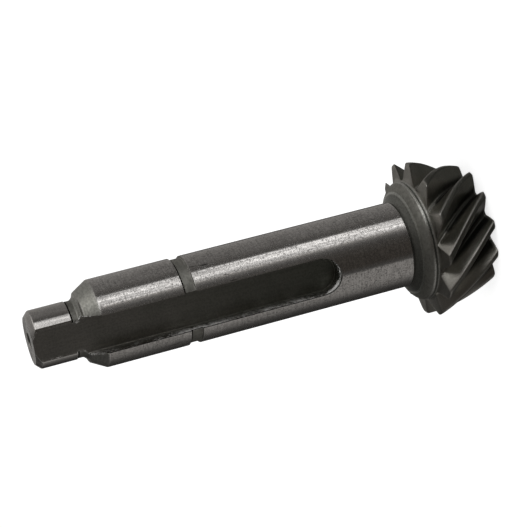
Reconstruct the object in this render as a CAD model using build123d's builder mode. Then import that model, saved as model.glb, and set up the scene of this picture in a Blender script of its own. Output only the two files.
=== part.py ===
"""Spiral bevel pinion turned and cut in one piece with its slotted shank.

The pinion stands on the flat small end of its teeth.  The origin is the
centre of that face, +Z runs up the shank and -Y is the side of the slot.
"""
from math import cos, radians, sin
import os

from build123d import *
from build123d.topology import SkipClean

# Lengths along the axis, from the small end of the teeth to the free end
face_length = 15.5
back_cone_length = 0.7
rim_length = 1.2
shoulder_length = 2.0
hub_cone_length = 1.4
undercut_width = 0.4
main_journal_length = 55.8
groove_width = 3.0
front_journal_length = 20.8
lead_cone_length = 3.8
neck_length = 2.9
stub_length = 10.1

# Gear blank
toe_tip_d = 31.0
heel_tip_d = 40.8
heel_root_d = 31.2

# Hub behind the teeth
rim_step = 0.15
rim_line_width = 0.7
rim_line_depth = 0.35
shoulder_low_d = 26.0
shoulder_bulge = 0.45

# Shank
journal_d = 22.0
undercut_depth = 0.25
groove_depth = 0.5
lead_cone_drop = 2.2
neck_drop = 0.2
neck_corner = 0.9
stub_d = 14.5
stub_chamfer = 1.25

# Slot that leaves through the free end
slot_width = 9.5
slot_floor_y = 5.9
slot_length = 77.15

# Teeth, with angles as shares of half the pitch
tooth_count = 12
toe_root_d = 23.1
space_phase = -0.7
lead_per_mm = -2.95
lead_growth = -0.0034
land_share_toe = 0.407
land_share_middle = 0.313
land_share_heel = 0.473
floor_edge = (0.0, 0.13)
floor_corner = (0.10, 0.25)
flank_middle = (0.42, 0.455)
lip = (1.3, 0.2)
cutter_overrun = 1.3
cutter_stations = 7

# Centre holes
centre_mouth_d = 4.25
centre_pilot_d = 2.0
centre_cone_length = 1.95
centre_pilot_length = 2.65
centre_tip_length = 0.6

# Heights of the steps
heel_root_z = face_length + back_cone_length
rim_top_z = heel_root_z + rim_length
shoulder_top_z = rim_top_z + shoulder_length
hub_top_z = shoulder_top_z + hub_cone_length
journal_low_z = hub_top_z + undercut_width
groove_low_z = journal_low_z + main_journal_length
groove_high_z = groove_low_z + groove_width
lead_cone_z = groove_high_z + front_journal_length
neck_low_z = lead_cone_z + lead_cone_length
stub_low_z = neck_low_z + neck_length
overall_length = stub_low_z + stub_length
slot_centre_z = overall_length - slot_length + slot_width / 2

# Radii of the steps
rim_r = heel_root_d / 2 - rim_step
rim_line_z = heel_root_z + rim_length / 2
shoulder_low_r = shoulder_low_d / 2
journal_r = journal_d / 2
undercut_r = journal_r - undercut_depth
groove_r = journal_r - groove_depth
lead_cone_r = journal_r - lead_cone_drop
stub_r = stub_d / 2
neck_r = stub_r - neck_drop

half_pitch = 180 / tooth_count


def face_radius(z):
    """Radius of the tooth tips at height z."""
    return (toe_tip_d + (heel_tip_d - toe_tip_d) * z / face_length) / 2


def root_radius(z):
    """Radius of the floor of a tooth space at height z."""
    return (toe_root_d + (heel_root_d - toe_root_d) * z / heel_root_z) / 2


def land_share(z):
    """Share of half the pitch that one tooth's top takes at height z."""
    t = z / face_length
    toe = land_share_toe * (1 - t) * (1 - 2 * t)
    middle = land_share_middle * 4 * t * (1 - t)
    heel = land_share_heel * t * (2 * t - 1)
    return toe + middle + heel


def space_side(z):
    """Radius and half width along one side of a space at height z, from floor to lip."""
    root = root_radius(z)
    depth = face_radius(z) - root
    tip_share = 1 - land_share(z) / 2
    side = [floor_edge, floor_corner, flank_middle, (1.0, tip_share), (lip[0], tip_share + lip[1])]
    return [(root + share * depth, half_pitch * width) for share, width in side]


def space_point(z, r, half):
    """Point of a space outline at height z, by its radius and its angle from the middle."""
    a = radians(space_phase + lead_per_mm * z + lead_growth * z * z + half)
    return (r * cos(a), r * sin(a))


# One tooth space as a lofted cutter
with BuildPart() as tooth_space:
    station_step = (heel_root_z + 2 * cutter_overrun) / (cutter_stations - 1)
    for index in range(cutter_stations):
        station_z = index * station_step - cutter_overrun
        left = [space_point(station_z, r, -half) for r, half in space_side(station_z)]
        right = [space_point(station_z, r, half) for r, half in space_side(station_z)]
        with BuildSketch(Plane.XY.offset(station_z)):
            with BuildLine():
                Spline(*reversed(left[1:]))
                Polyline(left[1], left[0], right[0], right[1])
                Spline(*right[1:])
                Line(right[-1], left[-1])
            make_face()
    loft()


# The long journal stays two faces, which meet where the slot turns round
with SkipClean(), BuildPart() as pinion_shaft:
    # Turned head, hub and plain stretch of the main journal
    with BuildSketch(Plane.XZ):
        with BuildLine():
            Polyline(
                (0, 0),
                (toe_tip_d / 2, 0),
                (heel_tip_d / 2, face_length),
                (heel_root_d / 2, heel_root_z),
                (rim_r, heel_root_z + rim_step),
                (rim_r, rim_line_z - rim_line_width / 2),
                (rim_r - rim_line_depth, rim_line_z),
                (rim_r, rim_line_z + rim_line_width / 2),
                (rim_r, rim_top_z),
            )
            ThreePointArc(
                (rim_r, rim_top_z),
                (
                    (rim_r + shoulder_low_r + shoulder_bulge) / 2,
                    (rim_top_z + shoulder_top_z + shoulder_bulge) / 2,
                ),
                (shoulder_low_r, shoulder_top_z),
            )
            Polyline(
                (shoulder_low_r, shoulder_top_z),
                (undercut_r, hub_top_z),
                (undercut_r, journal_low_z),
                (journal_r, journal_low_z),
                (journal_r, slot_centre_z),
                (0, slot_centre_z),
                (0, 0),
            )
        make_face()
    revolve(axis=Axis.Z)

    # Turned rest of the shank, which the slot crosses
    with BuildSketch(Plane.XZ):
        with BuildLine():
            Polyline(
                (0, slot_centre_z),
                (journal_r, slot_centre_z),
                (journal_r, groove_low_z),
                (groove_r, groove_low_z),
                (groove_r, groove_high_z),
                (journal_r, groove_high_z),
                (journal_r, lead_cone_z),
                (lead_cone_r, neck_low_z),
                (neck_r + neck_corner, neck_low_z + neck_corner / 3),
                (neck_r, neck_low_z + neck_corner * 4 / 3),
                (neck_r, stub_low_z),
                (stub_r, stub_low_z),
                (stub_r, overall_length - stub_chamfer),
                (stub_r - stub_chamfer, overall_length),
                (0, overall_length),
                (0, slot_centre_z),
            )
        make_face()
    revolve(axis=Axis.Z)

    # Spiral tooth spaces
    with PolarLocations(0, tooth_count):
        add(tooth_space.part, mode=Mode.SUBTRACT)

    # Flat-floored slot, round at its closed end
    slot_plane = Plane(origin=(0, -slot_floor_y, 0), x_dir=(1, 0, 0), z_dir=(0, -1, 0))
    with BuildSketch(slot_plane):
        with Locations((0, slot_centre_z)):
            Circle(slot_width / 2)
        with Locations((0, slot_centre_z + slot_length / 2)):
            Rectangle(slot_width, slot_length)
    extrude(amount=journal_d, mode=Mode.SUBTRACT)

    # Centre hole in each end
    for end_z, inward in ((0, 1), (overall_length, -1)):
        pilot_z = end_z + inward * centre_cone_length
        tip_z = pilot_z + inward * centre_pilot_length
        with BuildSketch(Plane.XZ):
            with BuildLine():
                Polyline(
                    (0, end_z),
                    (centre_mouth_d / 2, end_z),
                    (centre_pilot_d / 2, pilot_z),
                    (centre_pilot_d / 2, tip_z),
                    (0, tip_z + inward * centre_tip_length),
                    (0, end_z),
                )
            make_face()
        revolve(axis=Axis.Z, mode=Mode.SUBTRACT)

pinion_shaft.part.label = "pinion_shaft"
os.makedirs("parts", exist_ok=True)
export_step(pinion_shaft.part, "parts/pinion_shaft.step")
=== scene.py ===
"""Finish, light and camera for a spiral bevel pinion cut in one piece with its slotted shank.

Sizes in the piece classes are millimetres, as on a drawing; meshes are made in
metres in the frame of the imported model: the origin is the centre of the small
end of the teeth, +Z runs up the shank and -Y is the side of the slot.
"""

import logging
from dataclasses import dataclass, replace
from enum import Enum
from math import asin, atan2, ceil, cos, degrees, dist, hypot, pi, radians, sin, sqrt
from typing import Any, Iterable, Sequence

import bmesh
import bpy
from mathutils import Matrix, Vector


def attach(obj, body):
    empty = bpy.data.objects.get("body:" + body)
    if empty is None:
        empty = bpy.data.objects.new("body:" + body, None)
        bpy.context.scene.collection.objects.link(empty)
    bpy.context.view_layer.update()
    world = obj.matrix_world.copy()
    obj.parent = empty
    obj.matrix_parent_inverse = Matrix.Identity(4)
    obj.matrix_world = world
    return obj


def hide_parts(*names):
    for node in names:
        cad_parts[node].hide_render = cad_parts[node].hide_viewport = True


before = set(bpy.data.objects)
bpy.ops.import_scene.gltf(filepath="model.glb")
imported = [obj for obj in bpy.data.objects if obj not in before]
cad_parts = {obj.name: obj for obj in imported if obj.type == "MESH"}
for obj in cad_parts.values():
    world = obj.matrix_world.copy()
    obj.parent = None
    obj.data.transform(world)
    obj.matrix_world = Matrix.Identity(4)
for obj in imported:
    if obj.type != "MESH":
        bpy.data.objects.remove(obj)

log = logging.getLogger("pinion")

MM = 0.001
NODE = "pinion_shaft"
WEAR_AND_SHEEN_LAYER = "wear_and_sheen_edge"
# layer of darkening that paints shade into the base colour
DIRT_AND_SHADE_LAYER = "dirt_and_shade"
WELD = 2e-6
SLIVER = 1e-6
MOST_EASED = 0.45  # largest share of a side that its easing takes

Point2 = tuple[float, float]
Point3 = tuple[float, float, float]
Colour = tuple[float, float, float]
Edges = tuple[float, float, float, float]
Place = Sequence[float]  # a point with any number of parts
Spot = tuple[float, float, float, float, float]  # a place with its wear and painted sheen, and its painted shade


# ---------------------------------------------------------------- node wiring


class Wire:
    """An output socket of a node tree that takes part in Python arithmetic."""

    def __init__(self, tree: "Tree", socket: bpy.types.NodeSocket) -> None:
        """Keeps the socket and the tree that it belongs to."""
        self.tree = tree
        self.socket = socket

    @property
    def is_number(self) -> bool:
        """True for a socket that carries one number."""
        return self.socket.type in {"VALUE", "INT", "BOOLEAN"}

    def _join(self, operation: str, first: Any, second: Any) -> "Wire":
        """Adds the node for one operator.

        Args:
            operation: name of a Math or Vector Math operation.
            first: left operand, a wire, number or triple.
            second: right operand, a wire, number or triple.

        Returns:
            The wire that leaves the node.
        """
        parts = [first, second]
        plain = [isinstance(p, (int, float)) for p in parts]
        if all(n or (isinstance(p, Wire) and p.is_number) for n, p in zip(plain, parts)):
            return self.tree.add("ShaderNodeMath", {0: first, 1: second}, operation=operation)
        wide = {i: grey(p) if plain[i] else p for i, p in enumerate(parts)}
        return self.tree.add("ShaderNodeVectorMath", wide, operation=operation)

    def __add__(self, other: Any) -> "Wire":
        """Wire plus other."""
        return self._join("ADD", self, other)

    def __radd__(self, other: Any) -> "Wire":
        """Other plus wire."""
        return self._join("ADD", other, self)

    def __sub__(self, other: Any) -> "Wire":
        """Wire minus other."""
        return self._join("SUBTRACT", self, other)

    def __rsub__(self, other: Any) -> "Wire":
        """Other minus wire."""
        return self._join("SUBTRACT", other, self)

    def __mul__(self, other: Any) -> "Wire":
        """Wire times other."""
        return self._join("MULTIPLY", self, other)

    def __rmul__(self, other: Any) -> "Wire":
        """Other times wire."""
        return self._join("MULTIPLY", other, self)

    def __truediv__(self, other: Any) -> "Wire":
        """Wire divided by other."""
        return self._join("DIVIDE", self, other)

    def clamped(self) -> "Wire":
        """The number held between 0 and 1."""
        return self.tree.add("ShaderNodeClamp", {"Value": self})


class Tree:
    """A shader or geometry node tree that is filled from Python expressions."""

    def __init__(self, tree: bpy.types.NodeTree) -> None:
        """Starts on an emptied tree."""
        self.tree = tree
        self.tree.nodes.clear()

    def add(
        self, kind: str, sockets: dict | None = None, out: int | str = 0, **settings: Any
    ) -> Wire:
        """Adds any node.

        Args:
            kind: the node's type name.
            sockets: input name or index, with a wire, number, triple or data block.
            out: name or index of the output to give back.
            settings: its properties, set before its sockets; "stops" fills a colour ramp.

        Returns:
            The wire that leaves the chosen output.
        """
        node = self.tree.nodes.new(kind)
        for name, value in settings.items():
            if name == "stops":
                self._fill_ramp(node.color_ramp, value)
            else:
                setattr(node, name, value)
        for name, value in (sockets or {}).items():
            target = self._live(node.inputs, name)
            if isinstance(value, Wire):
                self.tree.links.new(value.socket, target)
            elif target.type == "RGBA":
                target.default_value = (*value, 1.0)
            else:
                target.default_value = value
        return Wire(self, self._live(node.outputs, out) if node.outputs else node.inputs[0])

    @staticmethod
    def _live(sockets: Sequence[bpy.types.NodeSocket], name: int | str) -> bpy.types.NodeSocket:
        """The shown socket of that name or place."""
        live = [s for s in sockets if s.enabled]
        return live[name] if isinstance(name, int) else next(s for s in live if s.name == name)

    @staticmethod
    def _fill_ramp(ramp: bpy.types.ColorRamp, stops: Sequence[tuple[float, Colour]]) -> None:
        """Gives a colour ramp its stops.

        Args:
            ramp: the ramp, with two or more stops of its own.
            stops: place and colour of each new stop.
        """
        while len(ramp.elements) > 1:
            ramp.elements.remove(ramp.elements[-1])
        ramp.elements[0].position = stops[0][0]
        ramp.elements[0].color = (*stops[0][1], 1.0)
        for place, colour in stops[1:]:
            ramp.elements.new(place).color = (*colour, 1.0)

    def blend(self, share: Any, first: Any, second: Any, blend_type: str = "MIX") -> Wire:
        """A colour that goes from first to second with share."""
        sockets = {"Factor": share, "A": first, "B": second}
        return self.add("ShaderNodeMix", sockets, "Result", data_type="RGBA", blend_type=blend_type)

    def tint(self, share: Any, first: Any, second: Any) -> Wire:
        """First multiplied by the colour second, by share."""
        return self.blend(share, first, second, "MULTIPLY")

    def between(self, value: Wire, low: float, high: float) -> Wire:
        """Spreads a 0 to 1 value over low to high."""
        sockets = {"Value": value, "To Min": low, "To Max": high}
        return self.add("ShaderNodeMapRange", sockets, clamp=True)

    def step(self, value: Wire, start: float, end: float) -> Wire:
        """Rises smoothly from 0 at start to 1 at end."""
        sockets = {"Value": value, "From Min": start, "From Max": end}
        return self.add("ShaderNodeMapRange", sockets, clamp=True, interpolation_type="SMOOTHSTEP")

    def window(self, value: Wire, edges: Edges) -> Wire:
        """1 between the two middle edges, falling smoothly to 0 at the outer ones."""
        return self.step(value, *edges[:2]) * (1.0 - self.step(value, *edges[2:]))

    def noise(self, vector: Wire, scale: float, detail: float = 2.0, rough: float = 0.5) -> Wire:
        """Soft noise read along a vector."""
        sockets = {"Vector": vector, "Scale": scale, "Detail": detail, "Roughness": rough}
        return self.add("ShaderNodeTexNoise", sockets, "Fac")

    def bump(self, height: Wire, depth: float, **under: Wire) -> Wire:
        """A normal bent by a height of that depth in millimetres, over the Normal given."""
        sockets = {"Strength": 1.0, "Distance": depth * MM, "Height": height, **under}
        return self.add("ShaderNodeBump", sockets)


def grey(level: float) -> Colour:
    """A colour or triple with one level in all its parts."""
    return level, level, level


def new_material(name: str) -> tuple[bpy.types.Material, Tree]:
    """Starts a material.

    Args:
        name: the material's name.

    Returns:
        The material and its emptied tree.
    """
    material = bpy.data.materials.new(name)
    material.use_nodes = True
    return material, Tree(material.node_tree)


# ---------------------------------------------------------------- finishes


class Marks(Enum):
    """The way the tool marks of a finish run, as the stretch of their noise."""

    ROUND = (0.09, 0.09, 1.0)
    ALONG = (1.0, 1.0, 0.07)
    CLOUD = (1.0, 1.0, 1.0)


@dataclass(frozen=True)
class Relief:
    """A fine relief in the steel: how close its features lie and their depth in millimetres."""

    scale: float
    depth: float


@dataclass(frozen=True)
class Scratches:
    """Sparse thin scratches a little off the axis, in patches."""

    share: float = 0.75
    tilt: Point3 = (0.10, 0.07, 0.0)
    stretch: Point3 = (1.0, 1.0, 0.05)
    scale: float = 2600.0
    line: Point2 = (0.74, 0.80)
    patch_scale: float = 75.0
    patch: Point2 = (0.60, 0.68)

    def pattern(self, tree: Tree, place: Wire) -> Wire:
        """Draws the scratches.

        Args:
            tree: the material's tree.
            place: the object's coordinates in it.

        Returns:
            How dark each spot is scratched, 0 to share.
        """
        sockets = {"Vector": place, "Rotation": self.tilt}
        turned = tree.add("ShaderNodeVectorRotate", sockets, rotation_type="EULER_XYZ")
        lines = tree.noise(turned * self.stretch, self.scale, 0.0)
        patches = tree.noise(place, self.patch_scale, 0.0)
        return tree.step(lines, *self.line) * tree.step(patches, *self.patch) * self.share


@dataclass(frozen=True)
class SteelFinish:
    """A machined steel surface: its tone, gloss, tool marks and how its edges are rubbed.

    The wear and the painted shade that a mesh carries choose where it is rubbed and where dark.
    Wear above 1 is a painted sheen of its own, which no spots break up.
    """

    name: str
    marks: Marks
    tone: Colour
    shade: Colour
    rough: Point2
    mark: Relief
    speck: Relief
    sparkle: float = 0.2
    mark_share: float = 0.35
    pit_line: float = 0.48
    pit_fade: float = 0.12
    pit_share: float = 0.85
    burr: float = 0.0
    scatter: float = 0.0
    sheen_scatter: float = 0.45
    wear_and_sheen_tone: Colour = (0.80, 0.79, 0.77)
    worn_share: float = 0.6
    worn_line: float = 0.5
    worn_fade: float = 0.45
    wear_and_sheen_rough: float = 0.10
    scratches: Scratches | None = None
    # colour of the painted shade, and of the scratches
    dirt_and_shade_tone: Colour = (0.020, 0.020, 0.0155)
    dirt_and_shade_rough: float = 0.15
    dirt_and_shade_range: Point2 = (0.85, 1.12)
    grain_range: Point2 = (0.38, 0.62)
    cloud_range: Point2 = (0.3, 0.72)
    cloud_scale: float = 130.0
    cloud_in_spots: float = 0.6
    cloud_in_pits: float = 0.1
    mark_noise: Point2 = (4.0, 0.62)
    speck_noise: Point2 = (3.0, 0.7)
    cloud_noise: Point2 = (3.0, 0.55)

    def make(self) -> bpy.types.Material:
        """Builds the material.

        Returns:
            The material, ready to be put in a piece's slot.
        """
        material, tree = new_material(self.name)
        place = tree.add("ShaderNodeTexCoord", out="Object")
        edge = tree.add("ShaderNodeAttribute", out="Fac", attribute_name=WEAR_AND_SHEEN_LAYER)
        dirt_and_shade = tree.add("ShaderNodeAttribute", out="Fac", attribute_name=DIRT_AND_SHADE_LAYER)
        marks = tree.noise(place * self.marks.value, self.mark.scale, *self.mark_noise)
        specks = tree.noise(place, self.speck.scale, *self.speck_noise)
        clouds = tree.noise(place, self.cloud_scale, *self.cloud_noise)
        grain = specks * (1.0 - self.mark_share) + marks * self.mark_share
        spots = specks + clouds * self.cloud_in_spots
        spots = tree.step(spots, self.worn_line, self.worn_line + self.worn_fade)
        # wear above 1 is painted sheen: pale, less metallic steel that stands in for a highlight
        painted_sheen = (edge - 1.0).clamped()
        wear_and_sheen = (edge * self.worn_share * spots + painted_sheen).clamped()

        glints = tree.step(grain, *self.grain_range)
        glints = tree.blend(glints, grey(1.0 - self.sparkle), grey(1.0 + self.sparkle))
        body = tree.blend(tree.step(clouds, *self.cloud_range), self.shade, self.tone)
        body = tree.tint(1.0, body, glints)
        if self.scratches:
            body = tree.tint(self.scratches.pattern(tree, place), body, self.dirt_and_shade_tone)
        body = tree.blend(wear_and_sheen, body, self.wear_and_sheen_tone)
        # the darkening layer paints shade into the base colour, broken up by the clouds
        covered = (dirt_and_shade * tree.between(clouds, *self.dirt_and_shade_range)).clamped()

        pits = grain + clouds * self.cloud_in_pits
        pits = 1.0 - tree.step(pits, self.pit_line, self.pit_line + self.pit_fade)
        rough = pits * self.pit_share + clouds * (1.0 - self.pit_share)
        rough = tree.between(rough, *self.rough) + dirt_and_shade * self.dirt_and_shade_rough + wear_and_sheen * self.wear_and_sheen_rough
        metal = 1.0 - wear_and_sheen * self.scatter - painted_sheen * self.sheen_scatter
        coarse = tree.bump(marks, self.mark.depth)
        fine = tree.bump(specks * (1.0 + edge * self.burr), self.speck.depth, Normal=coarse)
        sockets = {
            "Base Color": tree.blend(covered, body, self.dirt_and_shade_tone),
            "Metallic": metal.clamped(),
            "Roughness": rough,
            "Normal": fine,
        }
        shader = tree.add("ShaderNodeBsdfPrincipled", sockets)
        tree.add("ShaderNodeOutputMaterial", {"Surface": shader})
        return material


GROUND = SteelFinish(
    name="ground_steel",
    marks=Marks.ROUND,
    tone=(0.66, 0.645, 0.63),
    shade=(0.60, 0.585, 0.57),
    rough=(0.06, 0.42),
    mark=Relief(3000.0, 0.003),
    speck=Relief(2300.0, 0.006),
    sparkle=0.33,
    mark_share=0.32,
    pit_line=0.425,
    burr=3.0,
    scratches=Scratches(),
)
FINE = replace(
    GROUND,
    name="fine_ground_steel",
    rough=(0.10, 0.26),
    speck=Relief(2300.0, 0.003),
    sparkle=0.12,
    scratches=None,
)
TURNED = SteelFinish(
    name="turned_steel",
    marks=Marks.ROUND,
    tone=(0.53, 0.54, 0.505),
    shade=(0.465, 0.475, 0.44),
    rough=(0.28, 0.38),
    mark=Relief(1900.0, 0.004),
    speck=Relief(1900.0, 0.004),
    sparkle=0.18,
)
MILLED = SteelFinish(
    name="milled_steel",
    marks=Marks.ALONG,
    tone=(0.40, 0.39, 0.365),
    shade=(0.34, 0.335, 0.31),
    rough=(0.30, 0.40),
    mark=Relief(1500.0, 0.003),
    speck=Relief(2000.0, 0.004),
    sparkle=0.14,
    burr=9.0,
    scatter=0.50,
    worn_share=1.0,
    worn_line=0.77,
    worn_fade=0.10,
    # colour of the painted shade in the slot
    dirt_and_shade_tone=(0.012, 0.030, 0.006),
)
OXIDE = SteelFinish(
    name="dark_turned_steel",
    marks=Marks.ROUND,
    tone=(0.42, 0.42, 0.388),
    shade=(0.36, 0.36, 0.333),
    rough=(0.54, 0.66),
    mark=Relief(1900.0, 0.004),
    speck=Relief(900.0, 0.004),
    sparkle=0.10,
)
CUT = SteelFinish(
    name="cut_tooth_steel",
    marks=Marks.CLOUD,
    tone=(0.535, 0.525, 0.485),
    shade=(0.46, 0.452, 0.415),
    rough=(0.27, 0.34),
    mark=Relief(420.0, 0.006),
    speck=Relief(2000.0, 0.002),
    sparkle=0.07,
    worn_share=0.12,
)


# ---------------------------------------------------------------- shape helpers


def held(value: float) -> float:
    """The value held between 0 and 1."""
    return min(max(value, 0.0), 1.0)


def along(first: Place, second: Place, share: float) -> tuple[float, ...]:
    """The point at that share of the way from first to second."""
    return tuple(a + (b - a) * share for a, b in zip(first, second))


def polar(point: Point2) -> Point2:
    """Radius and angle of a point in the plane."""
    return hypot(*point), atan2(point[1], point[0])


def eased_corner(start: Place, corner: Place, end: Place, count: int) -> list:
    """Points of a rounded corner.

    Args:
        start: where the rounding leaves the first side.
        corner: the sharp corner.
        end: where it meets the second side.
        count: number of segments.

    Returns:
        count + 1 points from start to end.
    """
    shares = [index / count for index in range(count + 1)]
    return [along(along(start, corner, t), along(corner, end, t), t) for t in shares]


def read_line(marks: Sequence[Point2], at: float) -> float:
    """Reads a line of straight pieces.

    Args:
        marks: place and value of each of its ends, by rising place.
        at: the place to read.

    Returns:
        The value there, or the nearest end's value outside the line.
    """
    for (low, first), (high, second) in zip(marks, marks[1:]):
        if at <= high:
            return first + (second - first) * max(at - low, 0.0) / (high - low)
    return marks[-1][1]


def smooth_between(points: Sequence[Point2], t: float) -> Point2:
    """A smooth curve through four points.

    Args:
        points: the four points.
        t: share of the way from the second to the third.

    Returns:
        The point of the curve there.
    """
    weights = (
        -t + 2 * t**2 - t**3,
        2 - 5 * t**2 + 3 * t**3,
        t + 4 * t**2 - 3 * t**3,
        t**3 - t**2,
    )
    x, y = (sum(w * p[axis] for w, p in zip(weights, points)) / 2 for axis in (0, 1))
    return x, y


def circle_centre(first: Point2, second: Point2, third: Point2) -> Point2:
    """Centre of the circle through three points.

    Args:
        first: a point of the circle.
        second: another one.
        third: another one, not in line with the two.

    Returns:
        The centre.
    """
    (ax, ay), (bx, by), (cx, cy) = first, second, third
    d = 2 * (ax * (by - cy) + bx * (cy - ay) + cx * (ay - by))
    a2, b2, c2 = ax * ax + ay * ay, bx * bx + by * by, cx * cx + cy * cy
    ux = (a2 * (by - cy) + b2 * (cy - ay) + c2 * (ay - by)) / d
    uy = (a2 * (cx - bx) + b2 * (ax - cx) + c2 * (bx - ax)) / d
    return ux, uy


def make_object(name: str, data: bpy.types.ID) -> bpy.types.Object:
    """Links a mesh, camera or lamp to the scene as an object at the origin.

    Args:
        name: the object's name.
        data: what it shows.

    Returns:
        The object.
    """
    made = bpy.data.objects.new(name, data)
    bpy.context.scene.collection.objects.link(made)
    return made


def settle(piece: bpy.types.Object, name: str) -> bpy.types.Object:
    """Turns a piece and its live modifiers into one plain mesh with clean shading.

    Args:
        piece: object with its modifiers.
        name: name of the finished piece.

    Returns:
        The finished piece; the first object is removed.
    """
    weighted = piece.modifiers.new("even shading", "WEIGHTED_NORMAL")
    weighted.keep_sharp = True
    graph = bpy.context.evaluated_depsgraph_get()
    mesh = bpy.data.meshes.new_from_object(piece.evaluated_get(graph), depsgraph=graph)
    mesh.name = name
    old = piece.data
    bpy.data.objects.remove(piece)
    bpy.data.meshes.remove(old)
    return make_object(name, mesh)


class Skin:
    """Collects a grid of points into one closed mesh."""

    def __init__(self) -> None:
        """Starts an empty skin with the layers for worn edges and painted sheen, and for painted
        shade.
        """
        self.bm = bmesh.new()
        self.worn = self.bm.verts.layers.float.new(WEAR_AND_SHEEN_LAYER)
        self.dirt_and_shade = self.bm.verts.layers.float.new(DIRT_AND_SHADE_LAYER)

    def point(self, spot: Spot) -> bmesh.types.BMVert:
        """Adds a point.

        Args:
            spot: its place in millimetres, its wear and painted sheen, and its painted shade.

        Returns:
            The point in the mesh.
        """
        vert = self.bm.verts.new([c * MM for c in spot[:3]])
        vert[self.worn], vert[self.dirt_and_shade] = spot[3:]
        return vert

    def face(self, corners: Iterable[bmesh.types.BMVert], slot: int = 0) -> None:
        """Adds a face.

        Args:
            corners: its points in order.
            slot: its material slot.
        """
        made = self.bm.faces.new(list(corners))
        made.material_index = slot
        made.smooth = True

    def finish(self, name: str, crease: float) -> bpy.types.Mesh:
        """Merges doubled points, turns the faces outwards and marks the creases.

        Args:
            name: name of the mesh.
            crease: angle in degrees past which an edge stays sharp.

        Returns:
            The mesh.
        """
        bmesh.ops.remove_doubles(self.bm, verts=self.bm.verts, dist=WELD)
        bmesh.ops.dissolve_degenerate(self.bm, edges=self.bm.edges, dist=SLIVER)
        bmesh.ops.recalc_face_normals(self.bm, faces=self.bm.faces)
        mesh = bpy.data.meshes.new(name)
        self.bm.to_mesh(mesh)
        self.bm.free()
        mesh.set_sharp_from_angle(angle=radians(crease))
        return mesh


@dataclass(frozen=True)
class CentreHole:
    """The centre drilled in each end: its radii, and how deep its cone, pilot and tip reach."""

    mouth_r: float = 2.125
    pilot_r: float = 1.0
    cone_depth: float = 1.95
    pilot_depth: float = 4.6
    tip_depth: float = 5.2


# ---------------------------------------------------------------- the shank


class Surface(Enum):
    """The finish that a stretch of the turned profile carries, as a material slot."""

    GROUND = 0
    TURNED = 1
    MILLED = 2
    OXIDE = 3
    FINE = 4


@dataclass(frozen=True)
class Corner:
    """A corner of the turned profile: its rounding, the surface after it, its painted shade and
    wear.
    """

    r: float
    z: float
    ease: float = 0.0
    surface: Surface = Surface.TURNED
    dirt_and_shade: float = 0.0
    worn: float = 1.0


@dataclass(frozen=True)
class Station:
    """One loop round the axis: radius, height, wear of its edge, surface and painted shade."""

    r: float
    z: float
    worn: float
    surface: Surface
    dirt_and_shade: float = 0.0


Row = tuple[list[Spot], bool, Surface]  # half a loop, whether the slot cuts it, its surface


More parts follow.
